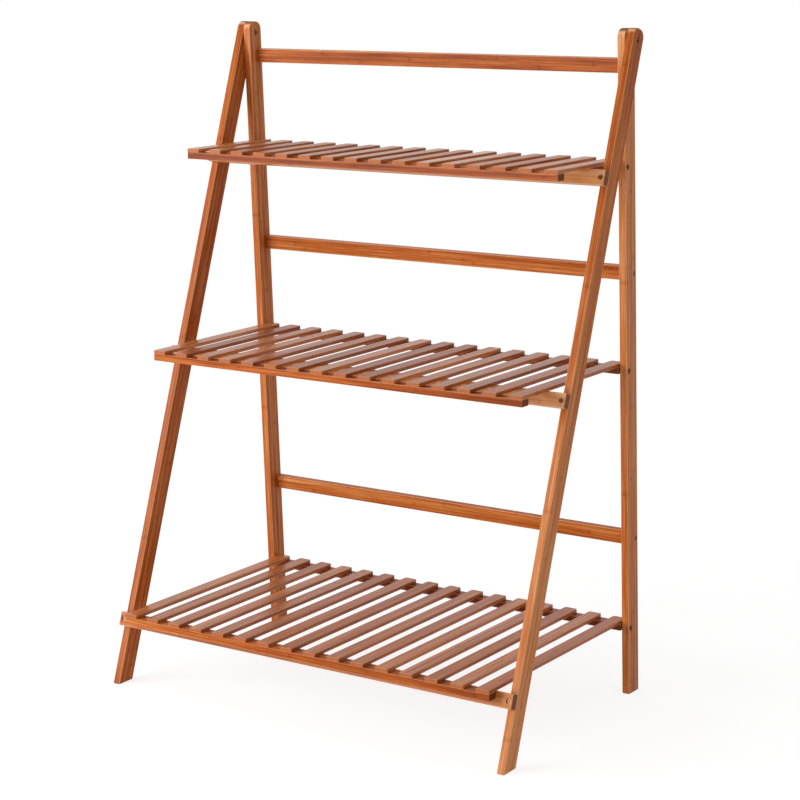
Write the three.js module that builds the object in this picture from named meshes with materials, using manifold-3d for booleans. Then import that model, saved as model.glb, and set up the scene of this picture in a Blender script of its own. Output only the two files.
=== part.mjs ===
// Folding three-tier bamboo plant stand.
//
// Millimetres. X runs along the shelves, +Y is the back, +Z is up. The origin is on the floor in the
// middle of the footprint. Two rear posts and two front legs cross at a pivot near the top. The legs
// swing back against the posts, and each shelf lifts about bolts through the posts.

import * as THREE from 'three';
import { mergeVertices } from 'three/addons/utils/BufferGeometryUtils.js';
import Module from 'manifold-3d';

const wasm = await Module();
wasm.setup();

// ---------------------------------------------------------------- driving dimensions

// the two frames
const STAND_WIDTH = 690;            // over the outer faces of the front legs
const PIVOT_HEIGHT = 953;           // top pivot above the floor
const FRONT_LEAN = 19.45;           // degrees from upright, feet forward
const REAR_LEAN = 2.15;             // degrees from upright, feet backward
const UPRIGHT_THICKNESS = 12;       // legs and posts, along X
const UPRIGHT_DEPTH = 29;           // legs and posts, front to back
const TOP_REACH = 17;               // timber above the pivot
const TOP_RADIUS = 12;              // rounding of the two top corners
const FRAME_ARRIS = 1;              // eased edge of the frame timber
const UPRIGHT_GAP = 1;              // between a leg and the post beside it

// rear rails, let in between the posts, flush with their back faces
const REAR_RAIL_HEIGHT = 21;
const REAR_RAIL_THICKNESS = 12;
const REAR_RAIL_DROPS = { top: 35, middle: 326.5, low: 718 };     // pivot to rail centre, along the post

// crossbars, screwed to the front faces of the legs
const CROSSBAR_HEIGHT = 21;
const CROSSBAR_THICKNESS = 12;

// shelves
const SHELF_DROPS = { top: 173.5, middle: 465, bottom: 851 };     // top pivot to shelf pivot, along the post
const FRONT_OVERHANGS = { top: 84, middle: 72.5 };                // shelf front ahead of its crossbar
const SHELF_PIVOT_FORWARD = 8;      // shelf pivot ahead of the post's centre line
const SHELF_END_GAP = 1;            // between a shelf and each post
const HOOK_CLEARANCE = 0.4;         // between the bottom front rail and its crossbar
const SHELF_RAIL_HEIGHT = 10;
const SHELF_RAIL_DEPTH = 17;
const SLAT_COUNT = 16;
const SLAT_WIDTH = 21;
const SLAT_THICKNESS = 5.5;
const SLAT_REAR_OVERHANG = 0.8;     // slat ends behind the rear rail
const SLAT_ARRIS = 0.8;
const JOINED_EVERY = 5;             // slats 1, 6, 11 and 16 are one piece with the rails

// fasteners
const BOLT_RADIUS = 2.5;
const BOLT_HEAD_RADIUS = 4.2;
const BOLT_HEAD_THICKNESS = 3;
const BOLT_HEAD_RECESS = 1;         // head below the wood around it
const BOLT_GRIP = 25;               // shelf bolt inside the shelf rail
const NUT_THICKNESS = 5;
const NUT_RECESS = 1;
const BOLT_END_INSET = 0.5;         // bolt end short of the nut's outer face
const HOLE_CLEARANCE = 0.3;         // all round a shank or head
const SCREW_HOLE_RADIUS = 2;
const SCREW_HEAD_RADIUS = 3.6;
const SCREW_HEAD_DEPTH = 3;         // countersink in a crossbar, recess in a post
const SCREW_INSET = 6;              // screw centre in from the end of a crossbar

const SEAT_GAP = 0.3;               // between pieces that rest on each other in a leaning frame
const HOLE_SIDES = 16;
const ARC_STEPS = 6;

// ---------------------------------------------------------------- derived places

const SIDES = { left: -1, right: 1 };
const radians = THREE.MathUtils.degToRad;
const frontAngle = -radians(FRONT_LEAN);      // turn about X that leans the front frame
const rearAngle = radians(REAR_LEAN);         // turn about X that leans the rear frame
const halfDepth = UPRIGHT_DEPTH / 2;

const legX = STAND_WIDTH / 2 - UPRIGHT_THICKNESS / 2;
const postX = legX - UPRIGHT_THICKNESS - UPRIGHT_GAP;
const insideWidth = 2 * postX - UPRIGHT_THICKNESS;
const shelfLength = insideWidth - 2 * SHELF_END_GAP;
const slatPitch = (shelfLength - SLAT_WIDTH) / (SLAT_COUNT - 1);

// A point [y, z] of a leaning frame, seen from the side and measured from the top pivot
function leaned([y, z], angle) {
  return [y * Math.cos(angle) - z * Math.sin(angle), y * Math.sin(angle) + z * Math.cos(angle)];
}

// Height, in a leaning frame, at which a line down the frame at depth y meets the floor
function footAt(y, angle) {
  return (-PIVOT_HEIGHT - y * Math.sin(angle)) / Math.cos(angle);
}

const frontFootY = leaned([-halfDepth, footAt(-halfDepth, frontAngle)], frontAngle)[0];
const rearFootY = leaned([halfDepth, footAt(halfDepth, rearAngle)], rearAngle)[0];
const PIVOT_Y = -(frontFootY + rearFootY) / 2;

// Depths in the front frame
const crossbarY = -(halfDepth + SEAT_GAP + CROSSBAR_THICKNESS / 2);
const crossbarFaceY = crossbarY - CROSSBAR_THICKNESS / 2;

// Depth in the rear frame
const rearRailY = halfDepth - REAR_RAIL_THICKNESS / 2;

// One shelf: its pivot, its depth from there to the front edge, and the drop of its crossbar
function shelfPlan(tier) {
  const [pivotY, pivotZ] = leaned([-SHELF_PIVOT_FORWARD, -SHELF_DROPS[tier]], rearAngle);
  const slatUnderside = pivotZ + SHELF_RAIL_HEIGHT / 2;
  const crossbarTopEdge = (slatUnderside - SEAT_GAP - crossbarFaceY * Math.sin(frontAngle))
    / Math.cos(frontAngle);
  const [edgeY] = leaned([crossbarFaceY, crossbarTopEdge], frontAngle);
  const hookedOverhang = SHELF_RAIL_DEPTH + HOOK_CLEARANCE
    + (SHELF_RAIL_HEIGHT - SEAT_GAP) * Math.tan(radians(FRONT_LEAN));
  const overhang = FRONT_OVERHANGS[tier] ?? hookedOverhang;
  return { pivotY, pivotZ, reach: pivotY - edgeY + overhang, crossbarZ: crossbarTopEdge - CROSSBAR_HEIGHT / 2 };
}

const shelves = Object.fromEntries(Object.keys(SHELF_DROPS).map((tier) => [tier, shelfPlan(tier)]));

// ---------------------------------------------------------------- materials

const finish = {
  frame: { color: 0xb8672f, roughness: 0.45, metalness: 0 },
  crossbar: { color: 0xd58a52, roughness: 0.45, metalness: 0 },
  shelf: { color: 0xb06a45, roughness: 0.4, metalness: 0 },
  steel: { color: 0xb9b2a4, roughness: 0.35, metalness: 1 },
};

function named(name, geometry, look) {
  const mesh = new THREE.Mesh(geometry, new THREE.MeshStandardMaterial(finish[look]));
  mesh.name = name;
  return mesh;
}

// ---------------------------------------------------------------- solids

function toSolid(geometry) {
  const bare = geometry.clone();
  bare.deleteAttribute('normal');
  bare.deleteAttribute('uv');
  const welded = mergeVertices(bare, 1e-4);
  return new wasm.Manifold(new wasm.Mesh({
    numProp: 3,
    vertProperties: new Float32Array(welded.attributes.position.array),
    triVerts: new Uint32Array(welded.index.array),
  }));
}

function toGeometry(solid) {
  const mesh = solid.getMesh();
  const geometry = new THREE.BufferGeometry();
  geometry.setAttribute('position', new THREE.BufferAttribute(mesh.vertProperties, 3));
  geometry.setIndex(new THREE.BufferAttribute(mesh.triVerts, 1));
  geometry.computeVertexNormals();
  return geometry;
}

function drilled(geometry, tools) {
  return toGeometry(tools.reduce((solid, tool) => solid.subtract(toSolid(tool)), toSolid(geometry)));
}

// A board cut to an outline, its thickness centred on the outline's plane, its edges eased
function board(outline, thickness, arris) {
  const geometry = new THREE.ExtrudeGeometry(outline, {
    depth: thickness - 2 * arris,
    curveSegments: ARC_STEPS,
    bevelEnabled: true,
    bevelThickness: arris,
    bevelSize: arris,
    bevelOffset: -arris,
    bevelSegments: 1,
  });
  return geometry.translate(0, 0, arris - thickness / 2);
}

// A straight bar, centred, measured along X, Y and Z
function bar(length, depth, height, arris) {
  const outline = new THREE.Shape([
    new THREE.Vector2(-length / 2, -depth / 2),
    new THREE.Vector2(length / 2, -depth / 2),
    new THREE.Vector2(length / 2, depth / 2),
    new THREE.Vector2(-length / 2, depth / 2),
  ]);
  return board(outline, height, arris);
}

// A leg or post seen from the side: its top pivot at the origin, its foot cut level with the floor
function upright(angle) {
  const outline = new THREE.Shape();
  outline.moveTo(-halfDepth, footAt(-halfDepth, angle));
  outline.lineTo(halfDepth, footAt(halfDepth, angle));
  outline.absarc(halfDepth - TOP_RADIUS, TOP_REACH - TOP_RADIUS, TOP_RADIUS, 0, Math.PI / 2);
  outline.absarc(TOP_RADIUS - halfDepth, TOP_REACH - TOP_RADIUS, TOP_RADIUS, Math.PI / 2, Math.PI);
  const standUp = new THREE.Matrix4().makeBasis(
    new THREE.Vector3(0, 1, 0), new THREE.Vector3(0, 0, 1), new THREE.Vector3(1, 0, 0));
  return board(outline, UPRIGHT_THICKNESS, FRAME_ARRIS).applyMatrix4(standUp);
}

// A round tool or pin along X from x0 to x1, at depth y and height z
function rodX(radius, x0, x1, y = 0, z = 0) {
  const rod = new THREE.CylinderGeometry(radius, radius, Math.abs(x1 - x0), HOLE_SIDES);
  return rod.rotateZ(-Math.PI / 2).translate((x0 + x1) / 2, y, z);
}

// The holes of a stepped bolt hole through an upright, its wide end at the face on the given side
function steppedHole(side, recess, y, z) {
  const face = UPRIGHT_THICKNESS / 2;
  const past = UPRIGHT_THICKNESS;
  return [
    rodX(BOLT_RADIUS + HOLE_CLEARANCE, -past, past, y, z),
    rodX(BOLT_HEAD_RADIUS + HOLE_CLEARANCE, side * (face - recess), side * past, y, z),
  ];
}

// A bolt along X. Its head's outer face is at x = 0 and its shank runs towards -side
function bolt(side, length) {
  const profile = [
    [0, 0],
    [BOLT_HEAD_RADIUS, 0],
    [BOLT_HEAD_RADIUS, BOLT_HEAD_THICKNESS],
    [BOLT_RADIUS, BOLT_HEAD_THICKNESS],
    [BOLT_RADIUS, length],
    [0, length],
  ].map(([radius, along]) => new THREE.Vector2(radius, along));
  return new THREE.LatheGeometry(profile, HOLE_SIDES).rotateZ(side * Math.PI / 2);
}

// A round nut along X with a through bore, centred on its thickness
function nut() {
  const bore = BOLT_RADIUS + HOLE_CLEARANCE;
  const profile = [
    [bore, -NUT_THICKNESS / 2],
    [BOLT_HEAD_RADIUS, -NUT_THICKNESS / 2],
    [BOLT_HEAD_RADIUS, NUT_THICKNESS / 2],
    [bore, NUT_THICKNESS / 2],
    [bore, -NUT_THICKNESS / 2],
  ].map(([radius, along]) => new THREE.Vector2(radius, along));
  return new THREE.LatheGeometry(profile, HOLE_SIDES).rotateZ(Math.PI / 2);
}

const headDepth = BOLT_HEAD_THICKNESS + BOLT_HEAD_RECESS;
const nutDepth = NUT_THICKNESS + NUT_RECESS;

// ---------------------------------------------------------------- rear frame

function rearPost(name, side) {
  const holes = [...steppedHole(-side, nutDepth, 0, 0)];
  for (const drop of Object.values(SHELF_DROPS)) {
    holes.push(...steppedHole(side, headDepth, -SHELF_PIVOT_FORWARD, -drop));
  }
  const face = UPRIGHT_THICKNESS / 2;
  for (const drop of Object.values(REAR_RAIL_DROPS)) {
    holes.push(rodX(SCREW_HOLE_RADIUS, -UPRIGHT_THICKNESS, UPRIGHT_THICKNESS, rearRailY, -drop));
    holes.push(rodX(SCREW_HEAD_RADIUS, side * (face - SCREW_HEAD_DEPTH), side * UPRIGHT_THICKNESS,
      rearRailY, -drop));
  }
  const post = named(`rear_post_${name}`, drilled(upright(rearAngle), holes), 'frame');
  post.position.x = side * postX;
  return post;
}

function rearRail(name) {
  const length = insideWidth - 2 * SEAT_GAP;
  const rail = named(`rear_rail_${name}`,
    bar(length, REAR_RAIL_THICKNESS, REAR_RAIL_HEIGHT, FRAME_ARRIS), 'frame');
  rail.position.set(0, rearRailY, -REAR_RAIL_DROPS[name]);
  return rail;
}

function topPivot(name, side) {
  const headX = legX + UPRIGHT_THICKNESS / 2 - BOLT_HEAD_RECESS;
  const nutX = postX - UPRIGHT_THICKNESS / 2 + NUT_RECESS + NUT_THICKNESS / 2;
  const length = headX - (nutX - NUT_THICKNESS / 2) - BOLT_END_INSET;
  const pin = named(`top_pivot_bolt_${name}`, bolt(side, length), 'steel');
  pin.position.x = side * headX;
  const cap = named(`top_pivot_nut_${name}`, nut(), 'steel');
  cap.position.x = side * nutX;
  return [pin, cap];
}

function rearFrame() {
  const frame = new THREE.Group();
  frame.rotation.x = rearAngle;
  for (const [name, side] of Object.entries(SIDES)) {
    frame.add(rearPost(name, side), ...topPivot(name, side));
  }
  for (const name of Object.keys(REAR_RAIL_DROPS)) {
    frame.add(rearRail(name));
  }
  return frame;
}

// ---------------------------------------------------------------- front frame

function frontLeg(name, side) {
  const leg = named(`front_leg_${name}`,
    drilled(upright(frontAngle), steppedHole(side, headDepth, 0, 0)), 'frame');
  leg.position.x = side * legX;
  return leg;
}

// The tools of one countersunk screw hole, through a crossbar from its front face
function screwHole(x) {
  const face = -CROSSBAR_THICKNESS / 2;
  const shank = new THREE.CylinderGeometry(
    SCREW_HOLE_RADIUS, SCREW_HOLE_RADIUS, 2 * CROSSBAR_THICKNESS, HOLE_SIDES);
  const wide = SCREW_HEAD_RADIUS + (SCREW_HEAD_RADIUS - SCREW_HOLE_RADIUS);
  const sink = new THREE.CylinderGeometry(SCREW_HOLE_RADIUS, wide, 2 * SCREW_HEAD_DEPTH, HOLE_SIDES);
  return [shank.translate(x, 0, 0), sink.translate(x, face, 0)];
}

function crossbar(tier) {
  const screwX = STAND_WIDTH / 2 - SCREW_INSET;
  const blank = bar(STAND_WIDTH, CROSSBAR_THICKNESS, CROSSBAR_HEIGHT, FRAME_ARRIS);
  const piece = named(`crossbar_${tier}`,
    drilled(blank, [...screwHole(-screwX), ...screwHole(screwX)]), 'crossbar');
  piece.position.set(0, crossbarY, shelves[tier].crossbarZ);
  return piece;
}

function frontFrame() {
  const frame = new THREE.Group();
  frame.rotation.x = frontAngle;
  for (const [name, side] of Object.entries(SIDES)) {
    frame.add(frontLeg(name, side));
  }
  for (const tier of Object.keys(shelves)) {
    frame.add(crossbar(tier));
  }
  return frame;
}

// ---------------------------------------------------------------- shelves

function slatX(number) {
  return (SLAT_WIDTH - shelfLength) / 2 + (number - 1) * slatPitch;
}

function slatBlank(reach) {
  const back = SHELF_RAIL_DEPTH / 2 + SLAT_REAR_OVERHANG;
  const blank = bar(SLAT_WIDTH, reach + back, SLAT_THICKNESS, SLAT_ARRIS);
  return blank.translate(0, (back - reach) / 2, (SHELF_RAIL_HEIGHT + SLAT_THICKNESS) / 2);
}

function isJoined(number) {
  return (number - 1) % JOINED_EVERY === 0;
}

const slatNumbers = Array.from({ length: SLAT_COUNT }, (_, index) => index + 1);

// Both rails and every fifth slat, drilled at the ends of the rear rail for the pivot bolts
function shelfFrame(tier) {
  const { reach } = shelves[tier];
  const rail = () => bar(shelfLength, SHELF_RAIL_DEPTH, SHELF_RAIL_HEIGHT, SLAT_ARRIS);
  const joined = slatNumbers.filter(isJoined).map((number) => slatBlank(reach).translate(slatX(number), 0, 0));
  const timbers = [rail(), rail().translate(0, SHELF_RAIL_DEPTH / 2 - reach, 0), ...joined];
  let solid = timbers.map(toSolid).reduce((sum, timber) => sum.add(timber));
  for (const side of Object.values(SIDES)) {
    const end = side * shelfLength / 2;
    const deep = end - side * (BOLT_GRIP + HOLE_CLEARANCE);
    solid = solid.subtract(toSolid(rodX(BOLT_RADIUS + HOLE_CLEARANCE, deep, end + side * SHELF_END_GAP)));
  }
  return named(`shelf_${tier}_frame`, toGeometry(solid), 'shelf');
}

function shelf(tier) {
  const { pivotY, pivotZ, reach } = shelves[tier];
  const group = new THREE.Group();
  group.position.set(0, pivotY, pivotZ);
  group.add(shelfFrame(tier));
  for (const number of slatNumbers.filter((number) => !isJoined(number))) {
    const slat = named(`shelf_${tier}_slat_${String(number).padStart(2, '0')}`, slatBlank(reach), 'shelf');
    slat.position.x = slatX(number);
    group.add(slat);
  }
  const headX = postX + UPRIGHT_THICKNESS / 2 - BOLT_HEAD_RECESS;
  for (const [name, side] of Object.entries(SIDES)) {
    const pin = named(`shelf_${tier}_bolt_${name}`,
      bolt(side, headX - shelfLength / 2 + BOLT_GRIP), 'steel');
    pin.position.x = side * headX;
    group.add(pin);
  }
  return group;
}

// ---------------------------------------------------------------- the stand

const stand = new THREE.Group();
stand.position.set(0, PIVOT_Y, PIVOT_HEIGHT);
stand.add(rearFrame(), frontFrame());
for (const tier of Object.keys(shelves)) {
  stand.add(shelf(tier));
}

export default stand;
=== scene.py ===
"""Looks of the folding three-tier bamboo plant stand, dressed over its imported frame."""

import math
import random

import bmesh
import bpy
from mathutils import Matrix, Vector


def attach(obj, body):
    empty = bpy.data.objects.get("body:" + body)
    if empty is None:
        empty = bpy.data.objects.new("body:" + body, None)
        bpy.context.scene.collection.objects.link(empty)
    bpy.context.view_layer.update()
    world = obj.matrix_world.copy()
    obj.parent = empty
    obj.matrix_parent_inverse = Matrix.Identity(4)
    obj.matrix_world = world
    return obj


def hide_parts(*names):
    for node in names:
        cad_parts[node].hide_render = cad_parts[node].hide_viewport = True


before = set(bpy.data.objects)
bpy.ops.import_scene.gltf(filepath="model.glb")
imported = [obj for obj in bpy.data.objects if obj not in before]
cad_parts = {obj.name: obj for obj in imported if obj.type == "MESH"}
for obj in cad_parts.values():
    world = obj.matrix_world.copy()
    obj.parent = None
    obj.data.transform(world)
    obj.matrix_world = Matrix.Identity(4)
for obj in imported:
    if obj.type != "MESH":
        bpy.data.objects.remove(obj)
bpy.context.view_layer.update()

# ---------------------------------------------------------------- the view
# The stand is seen from the front and to the right, a little above its top, from about three metres
# away. The camera comes first, because every finish below is judged in this view.

MM = 0.001

view = bpy.data.objects.new("view", bpy.data.cameras.new("view"))
bpy.context.scene.collection.objects.link(view)
view.data.sensor_width = 36
view.data.lens = 99.51
view.location = (1.80419, -2.57218, 1.10222)
turn, tilt, roll = math.radians(34.356), math.radians(-11.947), math.radians(-0.583)
view.rotation_euler = (
    Matrix.Rotation(turn, 3, "Z")
    @ Matrix.Rotation(math.pi / 2 + tilt, 3, "X")
    @ Matrix.Rotation(roll, 3, "Z")
).to_euler()
bpy.context.scene.camera = view
bpy.context.scene.view_settings.view_transform = "Standard"

# ---------------------------------------------------------------- rear posts
# Two upright boards of laminated bamboo, 12 x 29 mm, leaning back 2 degrees. Their tops are sawn
# round and their feet cut level. They are drilled for the top pivots, the three shelf bolts and the
# rail screws, and varnished orange-brown.

PIVOT_HEIGHT = 953 * MM
PIVOT_DEPTH = 150.8145 * MM
REAR_LEAN = math.radians(2.15)
UPRIGHT_THICKNESS = 12 * MM
UPRIGHT_DEPTH = 29 * MM
UPRIGHT_EDGE = 1.4 * MM
SPARE_LENGTH = 1.12  # the board starts this much too long, and its foot is then cut level
BOARD_CENTRE = -0.46  # from the pivot, where the grain is counted from
TOP_REACH = 17 * MM
TOP_RADIUS = 12 * MM
POST_MIDDLE = 326 * MM
SHELF_DROPS = {"top": 173.5 * MM, "middle": 465 * MM, "bottom": 851 * MM}
RAIL_DROPS = {"top": 35 * MM, "middle": 326.5 * MM, "low": 718 * MM}
RAIL_THICKNESS = 12 * MM
RAIL_DEPTH_PLACE = UPRIGHT_DEPTH / 2 - RAIL_THICKNESS / 2
SHELF_PIVOT_FORWARD = 8 * MM
BOLT_HOLE_RADIUS = 2.8 * MM
RECESS_RADIUS = 4.5 * MM
HEAD_RECESS_DEPTH = 4 * MM
NUT_RECESS_DEPTH = 6 * MM
SCREW_HOLE_RADIUS = 2.0 * MM
POCKET_RADIUS = 3.6 * MM
POCKET_DEPTH = 3 * MM
DRILL_PAST = 3 * MM
# the posts' tone from foot to top: paler towards the top, partly the board's own tone and partly a
# painted sheen where the lamp's reflection lies near the top
POST_TONE_AND_SHEEN = {"left": (0.06, 0.14), "right": (0.06, 0.2)}
SIDES = {"left": -1, "right": 1}

pivot = Vector((0, PIVOT_DEPTH, PIVOT_HEIGHT))


def alone(piece):
    """Makes the piece the only one that the next operators work on."""
    bpy.ops.object.select_all(action="DESELECT")
    piece.select_set(True)
    bpy.context.view_layer.objects.active = piece


def settle(piece):
    """Writes the piece's place, turn and scale into its mesh."""
    alone(piece)
    bpy.ops.object.transform_apply(location=True, rotation=True, scale=True)


def sawn(name, size, middle=(0, 0, 0)):
    """A square-edged board of that size."""
    bpy.ops.object.select_all(action="DESELECT")
    bpy.ops.mesh.primitive_cube_add(size=1, location=middle, scale=size)
    piece = bpy.context.object
    piece.name = piece.data.name = name
    settle(piece)
    return piece


def pick_edges(piece, wanted):
    """Selects, in edit mode, the edges for whose two ends wanted holds."""
    bpy.ops.mesh.select_mode(type="EDGE")
    bpy.ops.mesh.select_all(action="DESELECT")
    shape = bmesh.from_edit_mesh(piece.data)
    for edge in shape.edges:
        if wanted(edge.verts[0].co, edge.verts[1].co):
            edge.select_set(True)
    bmesh.update_edit_mesh(piece.data)


def eased(piece, width, segments=3):
    """Rounds every square edge, as a few strokes of sandpaper do."""
    alone(piece)
    edge = piece.modifiers.new("edge", "BEVEL")
    edge.width = width
    edge.segments = segments
    edge.limit_method = "ANGLE"
    edge.angle_limit = math.radians(35)
    bpy.ops.object.modifier_apply(modifier=edge.name)


def cut_with(piece, tool):
    """Takes the tool's shape out of the piece, and the tool away."""
    alone(piece)
    cut = piece.modifiers.new("cut", "BOOLEAN")
    cut.operation = "DIFFERENCE"
    cut.solver = "EXACT"
    cut.object = tool
    bpy.ops.object.modifier_apply(modifier=cut.name)
    bpy.data.objects.remove(tool)


def drill_x(piece, radius, start, end, y, z):
    """Bores a round hole along X."""
    bpy.ops.object.select_all(action="DESELECT")
    bpy.ops.mesh.primitive_cylinder_add(
        vertices=40, radius=radius, depth=abs(end - start),
        location=((start + end) / 2, y, z), rotation=(0, math.pi / 2, 0))
    cut_with(piece, bpy.context.object)


def on_frame(lean, y, z, x=0.0):
    """The place of a point of a leaning frame, given from its top pivot."""
    return pivot + Matrix.Rotation(lean, 3, "X") @ Vector((x, y, z))


def smooth(piece, angle=25):
    """Shades the rounded edges smooth and keeps the flat faces flat."""
    alone(piece)
    bpy.ops.object.shade_smooth_by_angle(angle=math.radians(angle))
    even = piece.modifiers.new("even", "WEIGHTED_NORMAL")
    even.keep_sharp = True
    bpy.ops.object.modifier_apply(modifier=even.name)


shades = random.Random(11)


def mark_board(piece, along, middle, lean=0.0, tones=(0.0, 0.0)):
    """Gives each point its place in its own board: along the fibres, across the strips and through
    the strips. Each board also gets its own number and a tone that may drift from end to end."""
    across = {"x": (0, 2, 1), "y": (1, 0, 2), "z": (2, 1, 0)}[along]
    back = Matrix.Rotation(-lean, 3, "X")
    middle = Vector(middle)
    vertices = piece.data.vertices
    if lean:
        points = [back @ (vertex.co - pivot) - middle for vertex in vertices]
    else:
        points = [vertex.co - middle for vertex in vertices]
    rows = [[point[axis] for axis in across] for point in points]
    low, high = min(row[0] for row in rows), max(row[0] for row in rows)
    number = shades.random()
    grain = piece.data.attributes.new("grain", "FLOAT_VECTOR", "POINT")
    grain.data.foreach_set("vector", [value for row in rows for value in row])
    board = piece.data.attributes.new("board", "FLOAT_VECTOR", "POINT")
    values = []
    for row in rows:
        share = (row[0] - low) / (high - low)
        values += [number, tones[0] + (tones[1] - tones[0]) * share, 0.0]
    board.data.foreach_set("vector", values)


class Wire:
    """A node's output. Arithmetic on it adds Math nodes."""

    def __init__(self, surface, node, output=0):
        self.surface, self.node, self.output = surface, node, output

    def __getitem__(self, output):
        return Wire(self.surface, self.node, output)

    @property
    def socket(self):
        return self.node.outputs[self.output]

    def maths(self, operation, first, second=0.0):
        return self.surface.node("Math", {"operation": operation}, {0: first, 1: second})

    def __add__(self, other):
        return self.maths("ADD", self, other)

    def __sub__(self, other):
        return self.maths("SUBTRACT", self, other)

    def __mul__(self, other):
        return self.maths("MULTIPLY", self, other)

    def __truediv__(self, other):
        return self.maths("DIVIDE", self, other)

    def __radd__(self, other):
        return self.maths("ADD", other, self)

    def __rsub__(self, other):
        return self.maths("SUBTRACT", other, self)

    def __rmul__(self, other):
        return self.maths("MULTIPLY", other, self)

    def __rtruediv__(self, other):
        return self.maths("DIVIDE", other, self)

    def __abs__(self):
        return self.maths("ABSOLUTE", self)

    def __floor__(self):
        return self.maths("FLOOR", self)

    def fract(self):
        return self.maths("FRACT", self)

    def largest(self, other):
        return self.maths("MAXIMUM", self, other)

    def between(self, low, high):
        """0 below low, 1 above high, and a smooth rise from one to the other."""
        return self.surface.node(
            "MapRange", {"interpolation_type": "SMOOTHSTEP"}, {"Value": self, 1: low, 2: high})


class Surface:
    """The nodes of a material, or of the sky."""

    def __init__(self, owner):
        owner.use_nodes = True
        self.owner = owner
        self.tree = owner.node_tree
        self.tree.nodes.clear()

    def node(self, kind, settings=None, sockets=None):
        """Any node: its type, its settings, and the values or links of its sockets."""
        made = self.tree.nodes.new("ShaderNode" + kind)
        for key, value in (settings or {}).items():
            if key == "stops":
                ramp = made.color_ramp
                while len(ramp.elements) < len(value):
                    ramp.elements.new(0.5)
                for stop, (place, colour) in zip(ramp.elements, value):
                    stop.position = place
                    stop.color = (*colour, 1)
            else:
                setattr(made, key, value)
        for key, value in (sockets or {}).items():
            if isinstance(value, Wire):
                self.tree.links.new(value.socket, made.inputs[key])
            else:
                made.inputs[key].default_value = value
        return Wire(self, made)

    def mixed(self, factor, first, second):
        """A colour between two others."""
        return self.node("Mix", {"data_type": "RGBA"}, {0: factor, 6: first, 7: second})[2]

    def vector(self, x, y, z):
        return self.node("CombineXYZ", {}, {0: x, 1: y, 2: z})

    def parts(self, vector):
        made = self.node("SeparateXYZ", {}, {0: vector})
        return made[0], made[1], made[2]

    def finish(self, **sockets):
        """Closes a material with the usual shader and gives it back."""
        named = {key.replace("_", " "): value for key, value in sockets.items()}
        shader = self.node("BsdfPrincipled", {}, named)
        self.node("OutputMaterial", {}, {"Surface": shader})
        return self.owner


def paint(red, green, blue):
    """A colour as it looks on paper, 0 to 255, in the renderer's own numbers."""
    shares = (red / 255, green / 255, blue / 255)
    return tuple(
        ((share + 0.055) / 1.055) ** 2.4 if share > 0.04 else share / 12.92 for share in shares)


KNOT_SPACING = 0.31
# the pale peach of the painted highlight along the boards' rounded edges
EDGE_HIGHLIGHT_COLOUR = paint(240, 180, 136)


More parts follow.
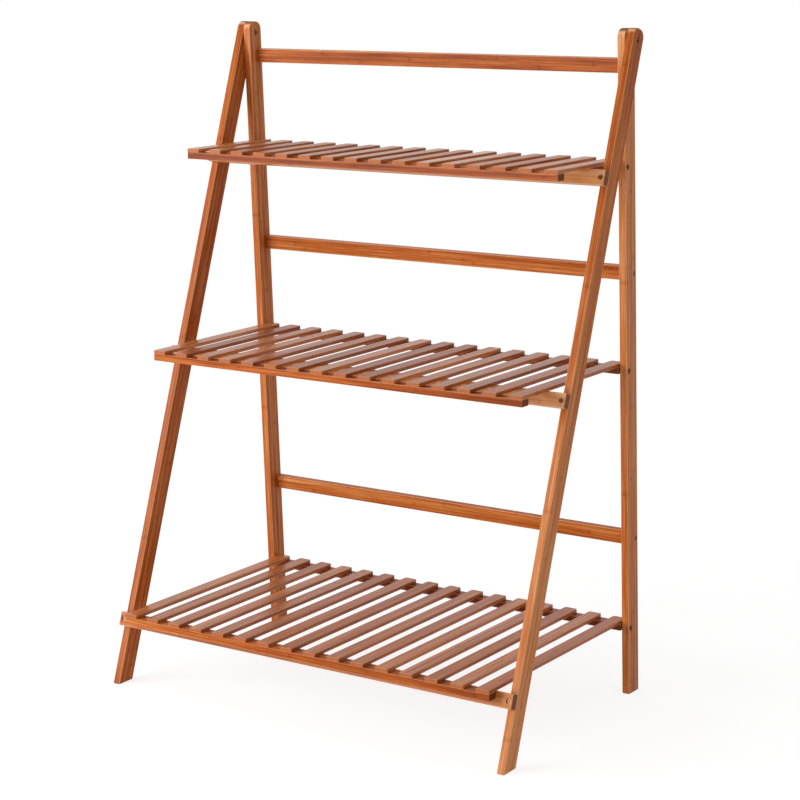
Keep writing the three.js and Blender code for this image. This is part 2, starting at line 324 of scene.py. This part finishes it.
def bamboo(name, along, lean, tones, end_tone, strip=5.8 * MM, gloss=0.1):
    """Laminated bamboo under semi-gloss varnish: glued strips with their own shades, fibres along
    the board, a culm node across a strip here and there, a painted highlight along the rounded
    edges and darker end grain.
    The odd factors on number, strip_number and chance only take each board and strip to its own
    part of a pattern."""
    s = Surface(bpy.data.materials.new(name))
    length, across, through = s.parts(s.node("Attribute", {"attribute_name": "grain"})["Vector"])
    number, tone, _ = s.parts(s.node("Attribute", {"attribute_name": "board"})["Vector"])

    place = across / strip + 0.5
    strip_number = math.floor(place)
    chance = s.node("TexWhiteNoise", {"noise_dimensions": "2D"},
                    {"Vector": s.vector(strip_number, number * 37, 0.0)})["Value"]
    glue_line = abs(place.fract() - 0.5).between(0.455, 0.5)

    def streaks(along_scale, across_scale, detail, roughness=0.5):
        """Long thin noise, much finer across the fibres than along them."""
        return s.node("TexNoise", {"noise_dimensions": "3D"}, {
            "Vector": s.vector(length * along_scale + number * 53 + strip_number * 3.7,
                               across * across_scale + number * 29, through * across_scale),
            "Scale": 1.0, "Detail": detail, "Roughness": roughness})

    broad = streaks(4, 170, 2)
    fibre = streaks(12, 560, 3, 0.6)
    fine = streaks(34, 1900, 2, 0.6)

    knot_place = (length / KNOT_SPACING + chance * 7.3 + number * 5.1).fract() - 0.5
    knot = 1 - abs(knot_place).between(0.004, 0.016)
    knot_heart = 1 - abs(knot_place - 0.004).between(0.001, 0.006)

    level = (0.5 + (broad - 0.5) * 0.7 + (fibre - 0.5) * 0.75 + (fine - 0.5) * 0.4
             + (chance - 0.5) * 0.18 + tone - glue_line * 0.05 - knot * 0.14 + knot_heart * 0.1)
    body = s.node("ValToRGB", {"stops": tones}, {"Fac": level})["Color"]

    # facing, measured in the board's own directions
    normal = s.node("TexCoord")["Normal"]
    if lean:
        normal = s.node("VectorRotate", {"rotation_type": "X_AXIS"},
                        {"Vector": normal, "Angle": -lean})
    sides = dict(zip("xyz", (abs(part) for part in s.parts(normal))))
    end = sides[along].between(0.55, 0.93)
    # painted highlight: where the normal leans off the board's faces, on the rounded edges, the
    # colour turns pale peach in place of the lamp's reflection there
    edge_highlight = 1 - sides["x"].largest(sides["y"]).largest(sides["z"]).between(0.88, 0.995)

    dots = s.node("TexVoronoi", {"feature": "F1"}, {
        "Vector": s.vector(across * 1150, through * 1150, number * 10), "Scale": 1.0})["Distance"]
    dark_end = tuple(part * 0.45 for part in end_tone)
    end_colour = s.mixed(dots.between(0.15, 0.5), (*dark_end, 1), (*end_tone, 1))
    colour = s.mixed(edge_highlight * 0.75, body, (*EDGE_HIGHLIGHT_COLOUR, 1))
    colour = s.mixed(end * 0.9, colour, end_colour)

    rough = 0.31 + (fibre - 0.5) * 0.14 + end * 0.2 - (number - 0.5) * 0.1
    relief = fibre * 0.6 + fine * 0.4 - glue_line * 0.5 + knot * 0.35
    bump = s.node("Bump", {}, {"Strength": 0.28, "Distance": 0.00035, "Height": relief})
    return s.finish(Base_Color=colour, Roughness=rough, Normal=bump, Specular_IOR_Level=gloss,
                    Coat_Weight=0.05, Coat_Roughness=0.2)


FRAME_TONES = [
    (0.0, paint(104, 42, 12)),
    (0.3, paint(146, 66, 20)),
    (0.5, paint(177, 92, 34)),
    (0.72, paint(202, 126, 68)),
    (1.0, paint(229, 170, 128)),
]
FRAME_END = paint(104, 52, 24)


def dressed(piece, finish, body, slot_name, *nodes):
    """Varnishes the finished piece and joins it to the body that it moves with."""
    piece.data.materials.clear()
    piece.data.materials.append(finish)
    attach(piece, body)
    if nodes:
        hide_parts(*nodes)


def upright(name, lean, x):
    """A leg or post with its top corners sawn round and its foot cut level."""
    low = -PIVOT_HEIGHT * SPARE_LENGTH
    piece = sawn(name, (UPRIGHT_THICKNESS, UPRIGHT_DEPTH, TOP_REACH - low),
                 (0, 0, (TOP_REACH + low) / 2))
    bpy.ops.object.mode_set(mode="EDIT")
    pick_edges(piece, lambda a, b: a.z > 0 and b.z > 0 and abs(a.y - b.y) < 1e-5)
    bpy.ops.mesh.bevel(offset=TOP_RADIUS, segments=12)
    bpy.ops.object.mode_set(mode="OBJECT")
    piece.rotation_euler.x = lean
    piece.location = (x, pivot.y, pivot.z)
    settle(piece)
    bpy.ops.object.mode_set(mode="EDIT")
    bpy.ops.mesh.select_all(action="SELECT")
    bpy.ops.mesh.bisect(plane_co=(0, 0, 0), plane_no=(0, 0, 1), use_fill=True, clear_inner=True)
    bpy.ops.object.mode_set(mode="OBJECT")
    eased(piece, UPRIGHT_EDGE)
    return piece


post_finish = bamboo("bamboo_posts", "z", REAR_LEAN, FRAME_TONES, FRAME_END)

for side_name, side in SIDES.items():
    post = upright(f"post_{side_name}", REAR_LEAN, side * POST_MIDDLE)
    outer = side * (POST_MIDDLE + UPRIGHT_THICKNESS / 2)
    inner = side * (POST_MIDDLE - UPRIGHT_THICKNESS / 2)
    past = side * DRILL_PAST
    drill_x(post, BOLT_HOLE_RADIUS, inner - past, outer + past, pivot.y, pivot.z)
    drill_x(post, RECESS_RADIUS, inner - past, inner + side * NUT_RECESS_DEPTH, pivot.y, pivot.z)
    for drop in SHELF_DROPS.values():
        _, y, z = on_frame(REAR_LEAN, -SHELF_PIVOT_FORWARD, -drop)
        drill_x(post, BOLT_HOLE_RADIUS, inner - past, outer + past, y, z)
        drill_x(post, RECESS_RADIUS, outer - side * HEAD_RECESS_DEPTH, outer + past, y, z)
    for drop in RAIL_DROPS.values():
        _, y, z = on_frame(REAR_LEAN, RAIL_DEPTH_PLACE, -drop)
        drill_x(post, SCREW_HOLE_RADIUS, inner - past, outer + past, y, z)
        drill_x(post, POCKET_RADIUS, outer - side * POCKET_DEPTH, outer + past, y, z)
    smooth(post)
    mark_board(post, "z", (side * POST_MIDDLE, 0, BOARD_CENTRE), REAR_LEAN, POST_TONE_AND_SHEEN[side_name])
    dressed(post, post_finish, "rear_frame", "bamboo_frame", f"rear_post_{side_name}")

# ---------------------------------------------------------------- rear rails
# Three flat bars of the same bamboo, 21 x 12 mm, let in between the posts and flush with their
# backs. A screw through each post holds each end.

RAIL_HEIGHT = 21 * MM
RAIL_LENGTH = 639.4 * MM
RAIL_EDGE = 1.6 * MM
REAR_RAIL_TONES = {"top": (-0.12, -0.12), "middle": (0.06, 0.0), "low": (0.08, 0.03)}

rail_finish = bamboo("bamboo_rear_rails", "x", REAR_LEAN, FRAME_TONES, FRAME_END,
                     strip=5.25 * MM, gloss=0.05)

for rail_name, drop in RAIL_DROPS.items():
    rail = sawn(f"rail_{rail_name}", (RAIL_LENGTH, RAIL_THICKNESS, RAIL_HEIGHT),
                (0, RAIL_DEPTH_PLACE, -drop))
    eased(rail, RAIL_EDGE)
    rail.rotation_euler.x = REAR_LEAN
    rail.location = pivot
    settle(rail)
    smooth(rail)
    mark_board(rail, "x", (0, RAIL_DEPTH_PLACE, -drop), REAR_LEAN, REAR_RAIL_TONES[rail_name])
    dressed(rail, rail_finish, "rear_frame", "bamboo_frame", f"rear_rail_{rail_name}")

# ---------------------------------------------------------------- rail screws
# Pan-head wood screws of bronzed steel with a cross recess, driven through the posts into the ends
# of the rear rails. Each head sits at the bottom of a 7 mm pocket in the post's outer face.

SCREW_SHANK = 1.75 * MM
SCREW_HEAD_RADIUS = 3.2 * MM
SCREW_PITCH = 1.6 * MM
SCREW_TIP = 3 * MM
PAN_HEIGHT = 2.2 * MM
THREAD_ROOT = 0.84  # the radius between two turns, as a share of the shank's


def plated_steel(name, colour=(0.3, 0.13, 0.065)):
    """Bronzed steel, a little dull and unevenly stained."""
    s = Surface(bpy.data.materials.new(name))
    where = s.node("TexCoord")["Object"]
    cloud = s.node("TexNoise", {}, {"Vector": where, "Scale": 900.0, "Detail": 3.0})
    tint = s.mixed(cloud.between(0.35, 0.7), (*(c * 0.62 for c in colour), 1), (*colour, 1))
    bump = s.node("Bump", {}, {"Strength": 0.15, "Distance": 0.0001, "Height": cloud})
    return s.finish(Base_Color=tint, Metallic=1.0, Roughness=0.28 + cloud * 0.22, Normal=bump)


steel = plated_steel("plated_steel")


def pick_faces(piece, wanted):
    """Selects, in edit mode, the faces for whose middle and normal wanted holds."""
    bpy.ops.mesh.select_mode(type="FACE")
    bpy.ops.mesh.select_all(action="DESELECT")
    shape = bmesh.from_edit_mesh(piece.data)
    for face in shape.faces:
        if wanted(face.calc_center_median(), face.normal):
            face.select_set(True)
    bmesh.update_edit_mesh(piece.data)


def step_out(length, scale):
    """Carries the selected end face on by a length, and scales it there."""
    bpy.ops.mesh.extrude_region_move(TRANSFORM_OT_translate={"value": (0, 0, -length)})
    bpy.ops.transform.resize(value=(scale, scale, 1))


def headed(name, head_radius, head_height, shank_radius, plain, threaded, pitch, tip, cone=0.0):
    """A screw or bolt standing on end: its head's top at z = 0, its shank going down. The shank is
    plain, then threaded, and ends in a point if tip is more than 0. A cone gives a flat head."""
    bpy.ops.object.select_all(action="DESELECT")
    bpy.ops.mesh.primitive_cylinder_add(
        vertices=32, radius=head_radius, depth=head_height, location=(0, 0, -head_height / 2))
    piece = bpy.context.object
    piece.name = piece.data.name = name
    settle(piece)
    bpy.ops.object.mode_set(mode="EDIT")
    if cone == 0:
        pick_edges(piece, lambda a, b: a.z > -1e-6 and b.z > -1e-6)
        bpy.ops.mesh.bevel(offset=min(head_height * 0.5, 1.2 * MM), segments=4)
    pick_faces(piece, lambda middle, normal: normal.z < -0.9)
    if cone:
        step_out(cone, shank_radius / head_radius)
    else:
        bpy.ops.mesh.inset(thickness=head_radius - shank_radius)
    step_out(plain, 1.0)
    for _ in range(round(threaded / pitch)):
        step_out(pitch * 0.45, THREAD_ROOT)
        step_out(pitch * 0.1, 1.0)
        step_out(pitch * 0.45, 1 / THREAD_ROOT)
    if tip:
        step_out(tip, 0.12)
    bpy.ops.object.mode_set(mode="OBJECT")
    return piece


def cross_recess(piece, across, wide, deep):
    """The four-armed drive recess, narrower at its bottom."""
    for turn_by in (0, math.pi / 2):
        bpy.ops.object.select_all(action="DESELECT")
        bpy.ops.mesh.primitive_cube_add(size=1, scale=(across, wide, 2 * deep))
        tool = bpy.context.object
        settle(tool)
        bpy.ops.object.mode_set(mode="EDIT")
        pick_faces(tool, lambda middle, normal: normal.z < -0.9)
        bpy.ops.transform.resize(value=(0.4, 0.7, 1))
        bpy.ops.object.mode_set(mode="OBJECT")
        tool.rotation_euler.z = turn_by
        settle(tool)
        cut_with(piece, tool)


def copied(model, name, turn_to, place):
    """A copy with its own mesh, turned and put in place."""
    alone(model)
    bpy.ops.object.duplicate()
    piece = bpy.context.object
    piece.name = piece.data.name = name
    piece.rotation_euler = turn_to
    piece.location = place
    settle(piece)
    return piece


OUTWARD = {-1: (0, -math.pi / 2, 0), 1: (0, math.pi / 2, 0)}

pan_screw = headed("pan_screw", SCREW_HEAD_RADIUS, PAN_HEIGHT, SCREW_SHANK,
                   plain=10 * MM, threaded=22 * MM, pitch=SCREW_PITCH, tip=SCREW_TIP)
cross_recess(pan_screw, across=3.6 * MM, wide=0.85 * MM, deep=1.4 * MM)
smooth(pan_screw, 30)

for rail_name, drop in RAIL_DROPS.items():
    for side_name, side in SIDES.items():
        seat = side * (POST_MIDDLE + UPRIGHT_THICKNESS / 2 - POCKET_DEPTH + PAN_HEIGHT)
        place = on_frame(REAR_LEAN, RAIL_DEPTH_PLACE, -drop, seat)
        screw = copied(pan_screw, f"rail_screw_{rail_name}_{side_name}", OUTWARD[side], place)
        dressed(screw, steel, "rear_frame", "steel_fastener")
bpy.data.objects.remove(pan_screw)

# ---------------------------------------------------------------- front legs
# Two boards like the posts, outside them, leaning forward 19 degrees. Their tops turn on the top
# pivots, and their feet are cut level with the floor.

LEG_MIDDLE = 339 * MM
FRONT_LEAN = math.radians(-19.45)
# the legs' tone from foot to top: paler towards the foot, most on the right leg, partly the board's
# own tone and partly a painted sheen where the lamp's reflection lies low on the legs
LEG_TONE_AND_SHEEN = {"left": (0.06, -0.01), "right": (0.3, -0.03)}

leg_finish = bamboo("bamboo_legs", "z", FRONT_LEAN, FRAME_TONES, FRAME_END, gloss=0.06)

for side_name, side in SIDES.items():
    leg = upright(f"leg_{side_name}", FRONT_LEAN, side * LEG_MIDDLE)
    outer = side * (LEG_MIDDLE + UPRIGHT_THICKNESS / 2)
    inner = side * (LEG_MIDDLE - UPRIGHT_THICKNESS / 2)
    past = side * DRILL_PAST
    drill_x(leg, BOLT_HOLE_RADIUS, inner - past, outer + past, pivot.y, pivot.z)
    drill_x(leg, RECESS_RADIUS, outer - side * HEAD_RECESS_DEPTH, outer + past, pivot.y, pivot.z)
    smooth(leg)
    mark_board(leg, "z", (side * LEG_MIDDLE, 0, BOARD_CENTRE), FRONT_LEAN, LEG_TONE_AND_SHEEN[side_name])
    dressed(leg, leg_finish, "front_frame", "bamboo_frame", f"front_leg_{side_name}")

# ---------------------------------------------------------------- top pivots
# A bronzed steel bolt with a round head and a hex socket goes through each leg and the post beside
# it, into a round sleeve nut let into the post's inner face. Both sit 1 mm below the wood.

SUNK = 1 * MM
BOLT_HEAD_RADIUS = 4.2 * MM
BOLT_HEAD_HEIGHT = 3 * MM
BOLT_SHANK = 2.5 * MM
BOLT_THREAD = 13 * MM
NUT_LENGTH = 5 * MM
top_bolt_length = (LEG_MIDDLE + UPRIGHT_THICKNESS / 2 - SUNK) - (
    POST_MIDDLE - UPRIGHT_THICKNESS / 2 + SUNK) - 0.5 * MM


def socket_bolt(name, length):
    """A bolt standing on end with a hex socket in its head."""
    piece = headed(name, BOLT_HEAD_RADIUS, BOLT_HEAD_HEIGHT, BOLT_SHANK,
                   plain=length - BOLT_HEAD_HEIGHT - BOLT_THREAD, threaded=BOLT_THREAD,
                   pitch=0.8 * MM, tip=0)
    bpy.ops.object.select_all(action="DESELECT")
    bpy.ops.mesh.primitive_cylinder_add(vertices=6, radius=2.3 * MM, depth=4.8 * MM)
    cut_with(piece, bpy.context.object)
    smooth(piece, 30)
    return piece


top_bolt = socket_bolt("top_bolt", top_bolt_length)

bpy.ops.object.select_all(action="DESELECT")
bpy.ops.mesh.primitive_cylinder_add(vertices=40, radius=BOLT_HEAD_RADIUS, depth=NUT_LENGTH)
sleeve_nut = bpy.context.object
settle(sleeve_nut)
eased(sleeve_nut, 0.5 * MM, 2)
bpy.ops.object.select_all(action="DESELECT")
bpy.ops.mesh.primitive_cylinder_add(vertices=40, radius=2.55 * MM, depth=NUT_LENGTH + 2 * MM)
cut_with(sleeve_nut, bpy.context.object)
slot_cut = sawn("slot_cut", (10 * MM, 1.1 * MM, 2 * MM), (0, 0, NUT_LENGTH / 2))
cut_with(sleeve_nut, slot_cut)
smooth(sleeve_nut, 30)

for side_name, side in SIDES.items():
    bolt = copied(top_bolt, f"top_bolt_{side_name}", OUTWARD[side],
                  (side * (LEG_MIDDLE + UPRIGHT_THICKNESS / 2 - SUNK), pivot.y, pivot.z))
    dressed(bolt, steel, "rear_frame", "steel_fastener", f"top_pivot_bolt_{side_name}")
    nut = copied(sleeve_nut, f"top_nut_{side_name}", OUTWARD[-side],
                 (side * (POST_MIDDLE - UPRIGHT_THICKNESS / 2 + SUNK + NUT_LENGTH / 2),
                  pivot.y, pivot.z))
    dressed(nut, steel, "rear_frame", "steel_fastener", f"top_pivot_nut_{side_name}")
bpy.data.objects.remove(top_bolt)
bpy.data.objects.remove(sleeve_nut)

# ---------------------------------------------------------------- crossbars
# Three bars, 21 x 12 mm, across the front faces of the legs, one under each shelf. They are of
# paler bamboo, and countersunk near each end for the screw that holds them.

CROSSBAR_LENGTH = 690 * MM
CROSSBAR_THICKNESS = 12 * MM
CROSSBAR_HEIGHT = 21 * MM
CROSSBAR_EDGE = 0.9 * MM
CROSSBAR_PLACE = -20.8 * MM
CROSSBAR_FACE = CROSSBAR_PLACE - CROSSBAR_THICKNESS / 2
CROSSBAR_DROPS = {"top": 199.174 * MM, "middle": 508.091 * MM, "bottom": 917.167 * MM}

CROSSBAR_TONES = [
    (0.0, paint(130, 60, 20)),
    (0.3, paint(174, 92, 38)),
    (0.5, paint(196, 120, 60)),
    (0.72, paint(212, 142, 84)),
    (1.0, paint(232, 172, 126)),
]
CROSSBAR_DRIFT = {"top": (0.0, 0.3), "middle": (0.0, 0.32), "bottom": (-0.16, 0.06)}
crossbar_finish = bamboo("bamboo_crossbars", "x", FRONT_LEAN, CROSSBAR_TONES, FRAME_END,
                         strip=5.25 * MM)


def drill_front(piece, inner_radius, outer_radius, deep, x, y, z):
    """Bores a round hole along Y, wider towards the front if the two radii differ."""
    bpy.ops.object.select_all(action="DESELECT")
    bpy.ops.mesh.primitive_cone_add(
        vertices=40, radius1=inner_radius, radius2=outer_radius, depth=deep,
        location=(x, y, z), rotation=(math.pi / 2, 0, 0))
    cut_with(piece, bpy.context.object)


for tier, drop in CROSSBAR_DROPS.items():
    bar = sawn(f"bar_{tier}", (CROSSBAR_LENGTH, CROSSBAR_THICKNESS, CROSSBAR_HEIGHT),
               (0, CROSSBAR_PLACE, -drop))
    eased(bar, CROSSBAR_EDGE)
    for side in SIDES.values():
        x = side * LEG_MIDDLE
        drill_front(bar, 2 * MM, 2 * MM, 20 * MM, x, CROSSBAR_PLACE, -drop)
        drill_front(bar, 3.8 * MM, 3.8 * MM, 4 * MM, x, CROSSBAR_FACE, -drop)
        drill_front(bar, 1.9 * MM, 3.7 * MM, 2.2 * MM, x, CROSSBAR_FACE + 3 * MM, -drop)
    bar.rotation_euler.x = FRONT_LEAN
    bar.location = pivot
    settle(bar)
    smooth(bar)
    mark_board(bar, "x", (0, CROSSBAR_PLACE, -drop), FRONT_LEAN, CROSSBAR_DRIFT[tier])
    dressed(bar, crossbar_finish, "front_frame", "bamboo_crossbar", f"crossbar_{tier}")

# ---------------------------------------------------------------- crossbar screws
# Countersunk wood screws with a cross recess, one through each end of a crossbar into the leg. The
# heads stand a little below the face, so that a dark ring of bare wood shows round them.

FLAT_SUNK = 1.9 * MM

flat_screw = headed("flat_screw", SCREW_HEAD_RADIUS, 0.35 * MM, SCREW_SHANK,
                    plain=8 * MM, threaded=16 * MM, pitch=SCREW_PITCH, tip=SCREW_TIP, cone=1.5 * MM)
cross_recess(flat_screw, across=4.6 * MM, wide=1.2 * MM, deep=1.3 * MM)
smooth(flat_screw, 30)

for tier, drop in CROSSBAR_DROPS.items():
    for side_name, side in SIDES.items():
        place = on_frame(FRONT_LEAN, CROSSBAR_FACE + FLAT_SUNK, -drop, side * LEG_MIDDLE)
        screw = copied(flat_screw, f"crossbar_screw_{tier}_{side_name}",
                       (math.pi / 2 + FRONT_LEAN, 0, 0), place)
        dressed(screw, steel, "front_frame", "steel_fastener")
bpy.data.objects.remove(flat_screw)

# ---------------------------------------------------------------- shelf rails
# Each shelf is carried by two bamboo rails, 17 mm deep and 10 mm high, front and rear. The pivot
# bolts go into the ends of the rear rail. The slats are glued and pinned on top.

SHELF_LENGTH = 638 * MM
SHELF_RAIL_DEPTH = 17 * MM
SHELF_RAIL_HEIGHT = 10 * MM
SHELF_EDGE = 0.7 * MM
PILOT_RADIUS = 2.6 * MM
PILOT_START = 293.7 * MM
PILOT_END = 321 * MM
SHELF_REACH = {"top": 170.61 * MM, "middle": 272.91 * MM, "bottom": 371.93 * MM}

SHELF_TONES = [
    (0.0, paint(98, 38, 10)),
    (0.3, paint(138, 62, 20)),
    (0.5, paint(172, 84, 26)),
    (0.72, paint(196, 116, 54)),
    (1.0, paint(220, 154, 106)),
]
shelf_rail_finish = bamboo("bamboo_shelf_rails", "x", 0.0, SHELF_TONES, FRAME_END, strip=5 * MM)

FRONT_RAIL_TONES = {"top": (-0.28, -0.02), "middle": (0.0, -0.18), "bottom": (0.1, -0.16)}
# painted shade: the rear shelf rails are darkened all along, where they lie in shadow under and
# between the slats
BACK_RAIL_SHADE = (-0.3, -0.3)

for tier, reach in SHELF_REACH.items():
    hinge = on_frame(REAR_LEAN, -SHELF_PIVOT_FORWARD, -SHELF_DROPS[tier])
    for rail_name, y in (("rear", 0.0), ("front", SHELF_RAIL_DEPTH / 2 - reach)):
        middle = hinge + Vector((0, y, 0))
        rail = sawn(f"shelf_{tier}_rail_{rail_name}",
                    (SHELF_LENGTH, SHELF_RAIL_DEPTH, SHELF_RAIL_HEIGHT), middle)
        eased(rail, SHELF_EDGE)
        if rail_name == "rear":
            for side in SIDES.values():
                drill_x(rail, PILOT_RADIUS, side * PILOT_START, side * PILOT_END, hinge.y, hinge.z)
        smooth(rail)
        tones = FRONT_RAIL_TONES[tier] if rail_name == "front" else BACK_RAIL_SHADE
        mark_board(rail, "x", middle, 0.0, tones)
        dressed(rail, shelf_rail_finish, f"shelf_{tier}", "bamboo_shelf", f"shelf_{tier}_frame")

# ---------------------------------------------------------------- slats
# Sixteen flat bamboo slats per shelf, 21 x 5.5 mm, laid from the front rail to the rear rail. Their
# front ends are flush with the rail's face, and the corners of their rear ends are rounded.

SLAT_COUNT = 16
SLAT_WIDTH = 21 * MM
SLAT_THICKNESS = 5.5 * MM
SLAT_TAIL = SHELF_RAIL_DEPTH / 2 + 0.8 * MM
SLAT_PITCH = (SHELF_LENGTH - SLAT_WIDTH) / (SLAT_COUNT - 1)
SLAT_CORNER = 3.2 * MM
SLAT_TONE_SPREAD = 0.11
RAIL_SLATS = (1, 6, 11, 16)

SLAT_TONES = [
    (0.0, paint(104, 48, 22)),
    (0.3, paint(146, 74, 32)),
    (0.5, paint(175, 97, 45)),
    (0.72, paint(198, 124, 70)),
    (1.0, paint(222, 160, 116)),
]
SLAT_END = paint(176, 98, 52)
slat_finish = bamboo("bamboo_slats", "y", 0.0, SLAT_TONES, SLAT_END,
                     strip=5.25 * MM, gloss=0.2)

for tier, reach in SHELF_REACH.items():
    hinge = on_frame(REAR_LEAN, -SHELF_PIVOT_FORWARD, -SHELF_DROPS[tier])
    rise = (SHELF_RAIL_HEIGHT + SLAT_THICKNESS) / 2
    middle = hinge + Vector((0, (SLAT_TAIL - reach) / 2, rise))
    model = sawn(f"slat_{tier}", (SLAT_WIDTH, reach + SLAT_TAIL, SLAT_THICKNESS), middle)
    bpy.ops.object.mode_set(mode="EDIT")
    pick_edges(model, lambda a, b: abs(a.z - b.z) > 1 * MM and a.y > middle.y)
    bpy.ops.mesh.bevel(offset=SLAT_CORNER, segments=6)
    bpy.ops.object.mode_set(mode="OBJECT")
    eased(model, SHELF_EDGE)
    smooth(model)
    for number in range(1, SLAT_COUNT + 1):
        x = (SLAT_WIDTH - SHELF_LENGTH) / 2 + (number - 1) * SLAT_PITCH
        slat = copied(model, f"shelf_{tier}_board_{number:02d}", (0, 0, 0), (x, 0, 0))
        lift = shades.uniform(-SLAT_TONE_SPREAD, SLAT_TONE_SPREAD)
        mark_board(slat, "y", middle + Vector((x, 0, 0)), 0.0, (lift, lift))
        part = "frame" if number in RAIL_SLATS else f"slat_{number:02d}"
        node = f"shelf_{tier}_{part}"
        dressed(slat, slat_finish, f"shelf_{tier}", "bamboo_shelf", node)
    bpy.data.objects.remove(model)

# ---------------------------------------------------------------- shelf bolts
# One bronzed steel bolt at each end of a shelf, through the post into the end of the rear rail. The
# shelf lifts about it. Its head sits 1 mm below the post's outer face.

BOLT_HOLD = 25 * MM
bolt_top = POST_MIDDLE + UPRIGHT_THICKNESS / 2 - SUNK

shelf_bolt = socket_bolt("shelf_bolt", bolt_top - SHELF_LENGTH / 2 + BOLT_HOLD)
for tier, drop in SHELF_DROPS.items():
    for side_name, side in SIDES.items():
        place = on_frame(REAR_LEAN, -SHELF_PIVOT_FORWARD, -drop, side * bolt_top)
        bolt = copied(shelf_bolt, f"shelf_{tier}_pin_{side_name}", OUTWARD[side], place)
        dressed(bolt, steel, f"shelf_{tier}", "steel_fastener", f"shelf_{tier}_bolt_{side_name}")
bpy.data.objects.remove(shelf_bolt)

# ---------------------------------------------------------------- floor and light
# A plain white studio floor under a white sky, with one broad soft lamp in front and to the left.
# The floor looks white to the camera and to the varnish, and still takes the stand's shadow.

bpy.ops.object.select_all(action="DESELECT")
bpy.ops.mesh.primitive_circle_add(
    vertices=96, radius=9, fill_type="NGON", location=(0, 0, -0.2 * MM))
floor = bpy.context.object
floor.name = floor.data.name = "floor"
settle(floor)

WHITE = (1, 1, 1, 1)
SHADOW_REACH = (0.5, 1.8)


def seen_directly(surface):
    """1 for what the camera sees, also in varnish and steel, and 0 for the light that falls."""
    rays = surface.node("LightPath")
    return rays["Is Camera Ray"].largest(rays["Is Glossy Ray"]).largest(rays["Is Transmission Ray"])


floor_paint = Surface(bpy.data.materials.new("floor_paint"))
matt = floor_paint.node("BsdfDiffuse", {}, {"Color": (0.86, 0.86, 0.86, 1)})
# near the stand the floor keeps some shading, so that the shadow shows
shaded = floor_paint.node("BsdfDiffuse", {}, {"Color": (0.95, 0.95, 0.95, 1)})
bright = floor_paint.node("Emission", {}, {"Color": WHITE, "Strength": 1.18})
near = floor_paint.node("MixShader", {}, {0: 0.66, 1: shaded, 2: bright})
# farther out it fades to the sky's white
plain_white = floor_paint.node("Emission", {}, {"Color": WHITE, "Strength": 1.0})
where = floor_paint.node("TexCoord")["Object"]
away = floor_paint.node("VectorMath", {"operation": "LENGTH"}, {0: where})["Value"]
shown = floor_paint.node("MixShader", {}, {0: away.between(*SHADOW_REACH), 1: near, 2: plain_white})
either = floor_paint.node("MixShader", {}, {0: seen_directly(floor_paint), 1: matt, 2: shown})
floor_paint.node("OutputMaterial", {}, {"Surface": either})
floor.data.materials.append(floor_paint.owner)

sky = Surface(bpy.data.worlds.new("sky"))
glow = sky.node("Background", {}, {"Color": WHITE, "Strength": 0.58})
white = sky.node("Background", {}, {"Color": WHITE, "Strength": 1.0})
either = sky.node("MixShader", {}, {0: seen_directly(sky), 1: glow, 2: white})
sky.node("OutputWorld", {}, {"Surface": either})
bpy.context.scene.world = sky.owner

window = bpy.data.objects.new("window", bpy.data.lights.new("window", "AREA"))
bpy.context.scene.collection.objects.link(window)
window.data.shape = "RECTANGLE"
window.data.size, window.data.size_y = 2.6, 1.5
window.data.energy = 86
window.location = (-1.9, -2.4, 1.15)
aim = Vector((0, 0, 0.5)) - window.location
window.rotation_euler = aim.to_track_quat("-Z", "Y").to_euler()
